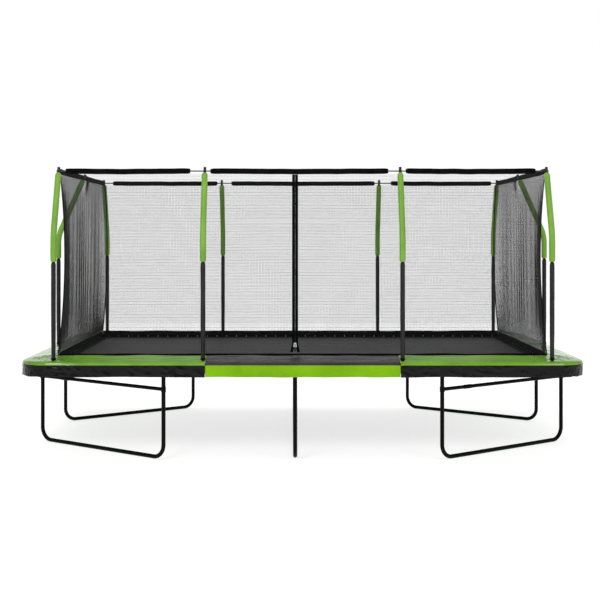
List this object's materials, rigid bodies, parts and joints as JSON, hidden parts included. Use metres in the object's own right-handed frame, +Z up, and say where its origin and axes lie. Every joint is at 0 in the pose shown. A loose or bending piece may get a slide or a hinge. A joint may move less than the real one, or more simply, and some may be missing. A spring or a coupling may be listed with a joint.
{
  "type": "trampoline",
  "caption": "Rectangular garden trampoline with a net enclosure on bent poles, a zipped door, spring pads, a bouncing mat and tubular U-legs.",
  "frame": {"origin": "on the floor under the middle of the trampoline", "axes": "+X runs along the long side, -Y faces out through the zipped door, +Z is up"},
  "size_m": [5.236, 3.096, 2.6923],
  "materials": {
    "black_steel": "satin",
    "zinc_steel": "satin",
    "pad_vinyl_green": "satin",
    "pad_vinyl_black": "satin",
    "sleeve_green": "satin",
    "sleeve_black": "satin",
    "black_plastic": "matte",
    "fibreglass": "satin",
    "black_webbing": "matte",
    "net": "matte",
    "mat_fabric": "matte"
  },
  "bodies": {
    "frame": {"bolts": "zinc_steel", "brace_back_left": "black_steel", "brace_back_right": "black_steel", "brace_fittings": "black_steel", "brace_front_left": "black_steel", "brace_front_right": "black_steel", "corner_back_left": "black_steel", "corner_back_right": "black_steel", "corner_front_left": "black_steel", "corner_front_right": "black_steel", "door_left": "net", "door_right": "net", "fabric_sleeves": "sleeve_black", "foam_sleeves": "sleeve_green", "leg_back_left": "black_steel", "leg_back_right": "black_steel", "leg_front_left": "black_steel", "leg_front_right": "black_steel", "leg_middle": "black_steel", "leg_sockets": "black_steel", "net_back": "net", "net_border": "black_webbing", "net_front": "net", "net_hems": "black_webbing", "net_hooks": "zinc_steel", "net_left": "net", "net_right": "net", "pad_back_left": "pad_vinyl_green", "pad_back_middle": "pad_vinyl_black", "pad_back_right": "pad_vinyl_green", "pad_front_left": "pad_vinyl_green", "pad_front_middle": "pad_vinyl_black", "pad_front_right": "pad_vinyl_green", "pole_back_1": "black_steel", "pole_back_2": "black_steel", "pole_back_3": "black_steel", "pole_back_4": "black_steel", "pole_brackets": "black_steel", "pole_caps": "black_plastic", "pole_front_1": "black_steel", "pole_front_2": "black_steel", "pole_front_3": "black_steel", "pole_front_4": "black_steel", "pole_left": "black_steel", "pole_right": "black_steel", "rail_back_left": "black_steel", "rail_back_right": "black_steel", "rail_front_left": "black_steel", "rail_front_right": "black_steel", "rail_left": "black_steel", "rail_right": "black_steel", "rail_sleeves": "black_steel", "springs": "zinc_steel", "top_rods": "fibreglass"},
    "mat": {"mat": "mat_fabric", "v_rings": "zinc_steel"},
    "door_left": {"zip_tape_left": "black_webbing"},
    "door_right": {"zip_tape_right": "black_webbing"},
    "zip_slider": {"zip_slider": "zinc_steel"},
    "zip_pull": {"zip_pull": "black_plastic"}
  },
  "joints": [
    {"name": "mat_bounce", "type": "slide", "parent": "frame", "child": "mat", "axis": [0, 0, 1], "range_m": [-0.18, 0.002], "stiffness_N_per_m": 4000, "springref_m": 0.02639, "deforming": ["springs"]},
    {"name": "door_left_opens", "type": "hinge", "parent": "frame", "child": "door_left", "pos_m": [-0.084, -1.232, 2.621], "axis": [0, 1, 0], "range_deg": [0, 14], "deforming": ["door_left"]},
    {"name": "door_right_opens", "type": "hinge", "parent": "frame", "child": "door_right", "pos_m": [-0.056, -1.232, 2.621], "axis": [0, -1, 0], "range_deg": [0, 14], "deforming": ["door_right"]},
    {"name": "zip_slide", "type": "slide", "parent": "door_left", "child": "zip_slider", "axis": [0, -0.0012, 1], "range_m": [0, 1.45]},
    {"name": "zip_pull_swing", "type": "hinge", "parent": "zip_slider", "child": "zip_pull", "pos_m": [-0.07, -1.2432, 1.027], "axis": [1, 0, 0], "range_deg": [-85, 0]}
  ]
}
